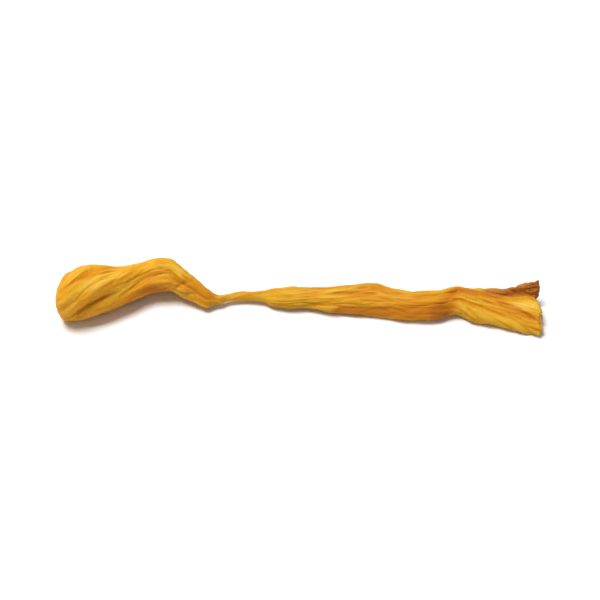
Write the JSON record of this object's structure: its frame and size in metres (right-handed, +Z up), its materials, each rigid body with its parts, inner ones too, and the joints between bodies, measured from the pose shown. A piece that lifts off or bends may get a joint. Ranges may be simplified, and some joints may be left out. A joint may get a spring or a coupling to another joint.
{
  "type": "dried cordyceps",
  "caption": "Dried cordyceps fruiting body lying flat: furrowed club head, bent collar, thin twisted neck and a creased ribbon-like stem torn and split at its base",
  "frame": {"origin": "bottom centre of the bounding box, on the surface that the strand lies on", "axes": "X along the strand from its head (-X) to its torn base (+X), Y across it, Z up"},
  "size_m": [0.0438, 0.0076, 0.0047],
  "materials": {
    "dried_flesh": "dry golden-orange fungus flesh, matte to satin, creased lengthways, darker in the furrows, paler at the torn end"
  },
  "bodies": {
    "root": {"fruiting_body": "dried_flesh"}
  },
  "joints": []
}
